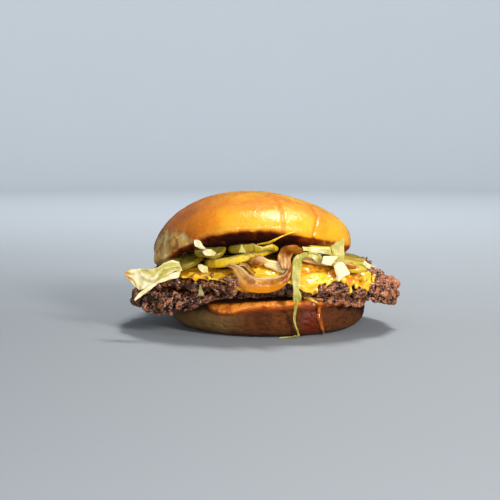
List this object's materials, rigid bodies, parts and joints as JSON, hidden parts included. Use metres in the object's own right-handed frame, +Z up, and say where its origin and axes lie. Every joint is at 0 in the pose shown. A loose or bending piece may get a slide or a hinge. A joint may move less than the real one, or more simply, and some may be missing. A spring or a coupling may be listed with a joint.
{
  "type": "smash cheeseburger",
  "caption": "Round soft bun around thin craggy beef patties, melted cheese with drooping lobes, soft onion strips, gherkin slices and lettuce shreds; the crown leans back.",
  "frame": {"origin": "centre of the bounding box's underside, on the surface that the burger stands on", "axes": "+Z up; -Y towards the front that the picture shows; +X to that view's right, along the burger's widest direction"},
  "size_m": [0.1388, 0.1222, 0.0693],
  "materials": {
    "crust": "glazed golden brown brioche crust",
    "toasted_bread": "matte tan bread with a toasted, greasy orange edge",
    "seared_mince": "craggy seared mince, moist",
    "melted_cheese": "glossy melted cheese",
    "soft_onion": "soft fried onion, glossy and partly browned",
    "gherkin": "moist yellow-green gherkin",
    "iceberg_leaf": "pale crisp lettuce, slightly glossy"
  },
  "bodies": {
    "root": {"heel": "toasted_bread", "patty_lower": "seared_mince", "patty_upper": "seared_mince", "cheese": "melted_cheese", "crown": "crust", "gherkin_1": "gherkin", "gherkin_2": "gherkin", "gherkin_3": "gherkin", "gherkin_4": "gherkin", "gherkin_5": "gherkin", "gherkin_6": "gherkin", "gherkin_7": "gherkin", "gherkin_8": "gherkin", "onion_1": "soft_onion", "onion_2": "soft_onion", "onion_3": "soft_onion", "onion_4": "soft_onion", "onion_5": "soft_onion", "onion_6": "soft_onion", "lettuce_1": "iceberg_leaf", "lettuce_2": "iceberg_leaf", "lettuce_3": "iceberg_leaf", "lettuce_4": "iceberg_leaf", "lettuce_5": "iceberg_leaf", "lettuce_6": "iceberg_leaf", "lettuce_7": "iceberg_leaf", "lettuce_8": "iceberg_leaf", "lettuce_9": "iceberg_leaf", "lettuce_10": "iceberg_leaf", "lettuce_11": "iceberg_leaf", "lettuce_12": "iceberg_leaf", "lettuce_13": "iceberg_leaf", "lettuce_14": "iceberg_leaf", "lettuce_15": "iceberg_leaf", "lettuce_16": "iceberg_leaf", "lettuce_17": "iceberg_leaf"}
  },
  "joints": []
}
